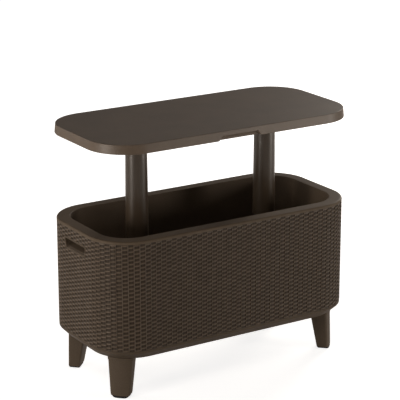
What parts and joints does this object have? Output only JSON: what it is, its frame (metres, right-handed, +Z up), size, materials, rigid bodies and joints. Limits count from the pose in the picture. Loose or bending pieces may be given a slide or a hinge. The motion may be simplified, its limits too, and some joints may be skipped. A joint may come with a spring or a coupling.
{
  "type": "ice bucket coffee table",
  "caption": "Patio coffee table over an ice tub with woven-look resin walls; its tabletop lifts on columns to open the basin and lowers to close it.",
  "frame": {"origin": "on the floor under the middle of the tub", "axes": "+X along the long side, +Z up, -Y the front"},
  "size_m": [0.83, 0.3996, 0.736],
  "materials": {
    "resin": "satin moulded polypropylene resin, dark grey brown",
    "woven_resin": "moulded plain weave relief in dark grey brown polypropylene resin",
    "inner_resin": "matt moulded polypropylene resin, nearly black",
    "button_resin": "smooth black acetal",
    "rubber": "matt black rubber",
    "steel": "plain stainless steel"
  },
  "bodies": {
    "tub": {"tub_shell": "woven_resin", "tub_liner_rim": "resin", "tub_liner_left": "resin", "tub_liner_middle": "resin", "tub_liner_right": "resin", "leg_back_right": "resin", "leg_back_left": "resin", "leg_front_left": "resin", "leg_front_right": "resin", "guide_post_left": "inner_resin", "guide_post_right": "inner_resin", "post_cap_left": "inner_resin", "post_cap_right": "inner_resin", "latch_housing_left": "inner_resin", "latch_housing_right": "inner_resin", "drain_spout": "inner_resin", "drain_nut": "inner_resin", "foot_pad_back_right": "rubber", "foot_pad_back_left": "rubber", "foot_pad_front_left": "rubber", "foot_pad_front_right": "rubber", "post_gasket_left": "rubber", "post_gasket_right": "rubber", "drain_gasket": "rubber", "leg_screw_back_right": "steel", "leg_screw_back_left": "steel", "leg_screw_front_left": "steel", "leg_screw_front_right": "steel", "post_screw_left_1": "steel", "post_screw_left_2": "steel", "post_screw_left_3": "steel", "post_screw_right_1": "steel", "post_screw_right_2": "steel", "post_screw_right_3": "steel", "housing_pin_left": "steel", "housing_pin_right": "steel", "latch_spring_left": "steel", "latch_spring_right": "steel"},
    "tabletop": {"tabletop_deck": "resin", "tabletop_panel": "inner_resin", "panel_screw_left_front": "steel", "panel_screw_left_back": "steel", "panel_screw_middle_front": "steel", "panel_screw_middle_back": "steel", "panel_screw_right_front": "steel", "panel_screw_right_back": "steel", "column_left": "resin", "column_right": "resin", "column_bush_left": "inner_resin", "column_bush_right": "inner_resin", "column_screw_left_1": "steel", "column_screw_left_2": "steel", "column_screw_left_3": "steel", "column_screw_right_1": "steel", "column_screw_right_2": "steel", "column_screw_right_3": "steel"},
    "latch_left": {"latch_button_left": "button_resin"},
    "latch_right": {"latch_button_right": "button_resin"},
    "drain_washer": {"drain_washer": "rubber"},
    "drain_cap": {"drain_cap": "inner_resin"}
  },
  "joints": [
    {"name": "tabletop_lift", "type": "slide", "parent": "tub", "child": "tabletop", "axis": [0, 0, 1], "range_m": [-0.243, 0]},
    {"name": "latch_left_press", "type": "slide", "parent": "tub", "child": "latch_left", "axis": [0, 1, 0], "range_m": [0, 0.0055], "stiffness_N_per_m": 300, "springref_m": -0.006, "deforming": ["latch_spring_left"]},
    {"name": "latch_right_press", "type": "slide", "parent": "tub", "child": "latch_right", "axis": [0, 1, 0], "range_m": [0, 0.0055], "stiffness_N_per_m": 300, "springref_m": -0.006, "deforming": ["latch_spring_right"]},
    {"name": "drain_cap_drop", "type": "slide", "parent": "tub", "child": "drain_washer", "axis": [0, 0, -1], "range_m": [0, 0.009]},
    {"name": "drain_cap_turn", "type": "hinge", "parent": "drain_washer", "child": "drain_cap", "pos_m": [0, 0, 0.1], "axis": [0, 0, -1], "range_deg": [0, 1080]}
  ],
  "couplings": [
    {"joint": "drain_cap_drop", "follows": "drain_cap_turn", "m_per_rad": 0.000477}
  ]
}
